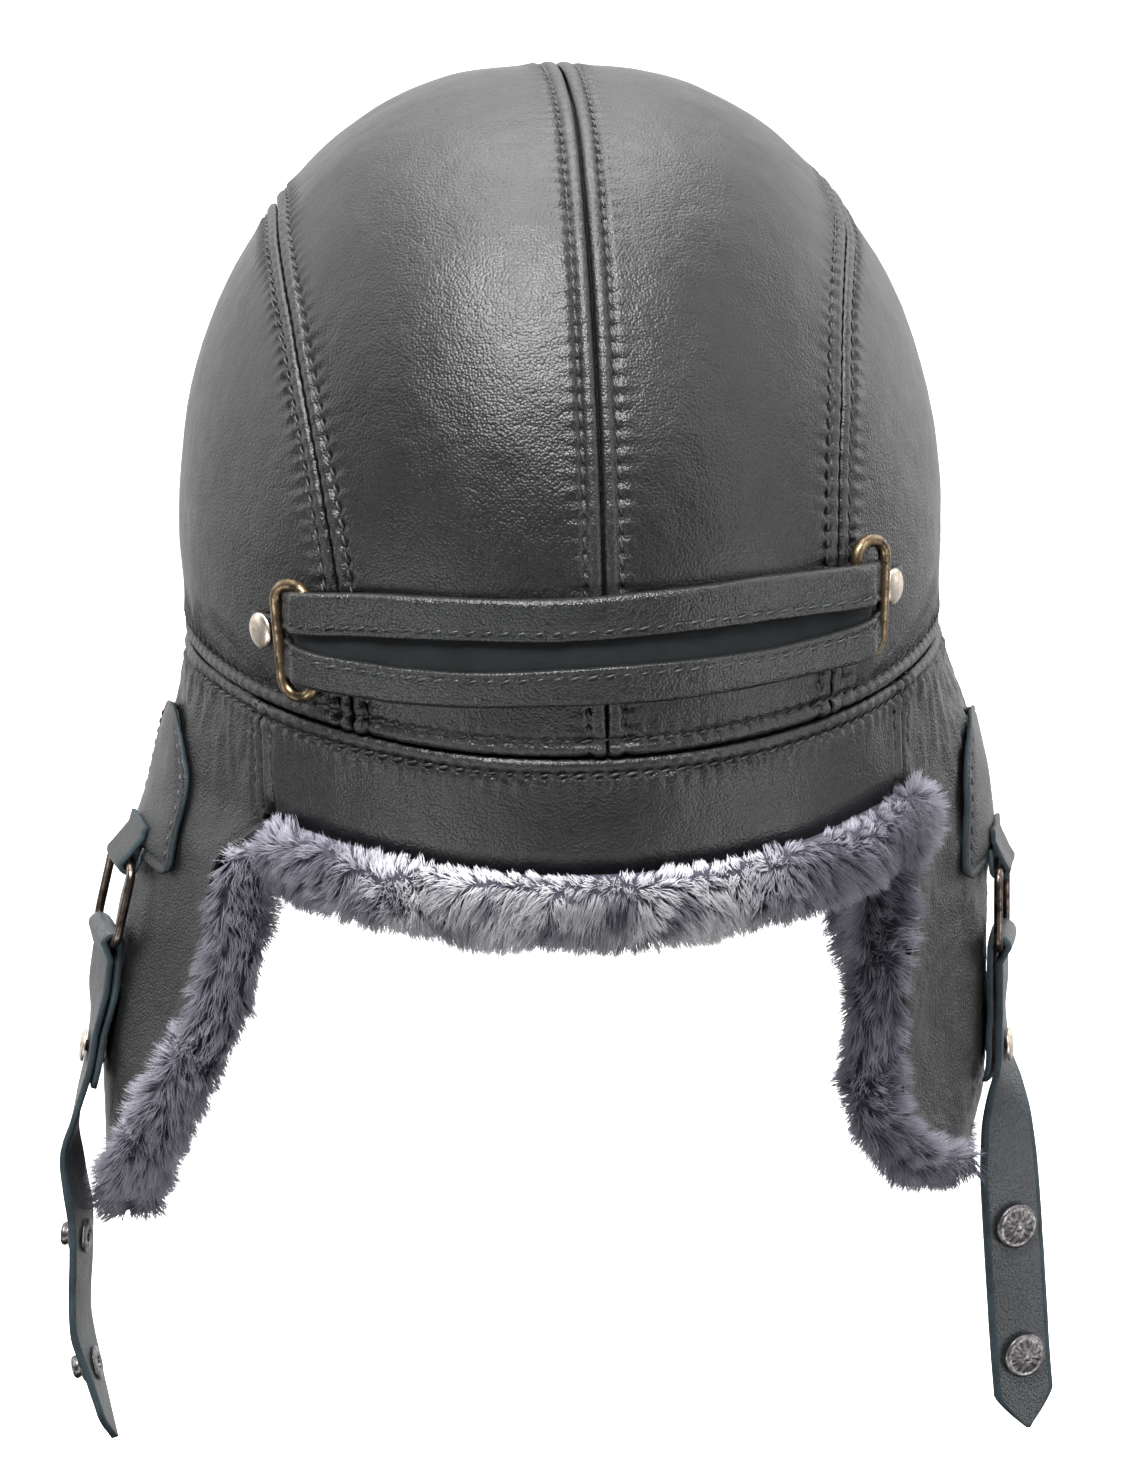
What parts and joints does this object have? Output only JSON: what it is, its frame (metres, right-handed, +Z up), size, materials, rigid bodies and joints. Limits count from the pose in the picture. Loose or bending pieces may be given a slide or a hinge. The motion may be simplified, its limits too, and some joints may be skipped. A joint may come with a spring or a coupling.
{
  "type": "leather flying helmet",
  "caption": "Fur-lined leather flying helmet with a panelled crown, ear flaps, a back strap on rings and snap-fastened chin straps.",
  "frame": {"origin": "the middle of the head opening, on the plane of the seam under the crown, where a head carries the helmet", "axes": "+Z up as worn, +Y towards the back of the head, -Y the way the wearer faces, +X towards the wearer's left"},
  "size_m": [0.2708, 0.2544, 0.3755],
  "materials": {
    "leather": "finely pebbled, semi-gloss",
    "strap_leather": "smooth, raw blue-black edges",
    "fur": "short dense pile",
    "antique_brass": "aged, rubbed bright on the bends",
    "nickel": "polished",
    "dark_nickel": "antiqued"
  },
  "bodies": {
    "root": {"crown_left_centre_panel": "leather", "crown_left_side_panel": "leather", "left_ear_flap": "leather", "left_flap_fur": "fur", "crown_right_centre_panel": "leather", "crown_right_side_panel": "leather", "right_ear_flap": "leather", "right_flap_fur": "fur", "back_strap": "strap_leather", "left_back_ring": "antique_brass", "left_back_rivet": "nickel", "left_flap_patch": "leather", "left_chin_ring": "dark_nickel", "left_chin_strap": "strap_leather", "left_strap_rivet": "nickel", "left_upper_snap_stud": "dark_nickel", "left_lower_snap_stud": "dark_nickel", "right_back_ring": "antique_brass", "right_back_rivet": "nickel", "right_flap_patch": "leather", "right_chin_ring": "dark_nickel", "right_chin_strap": "strap_leather", "right_strap_rivet": "nickel", "right_upper_snap_cap": "dark_nickel", "right_lower_snap_cap": "dark_nickel", "nape_panel": "leather", "brow_panel": "leather", "crown_fur_lining": "fur", "nape_fur_roll": "fur", "brow_fur_edge": "fur"}
  },
  "joints": []
}
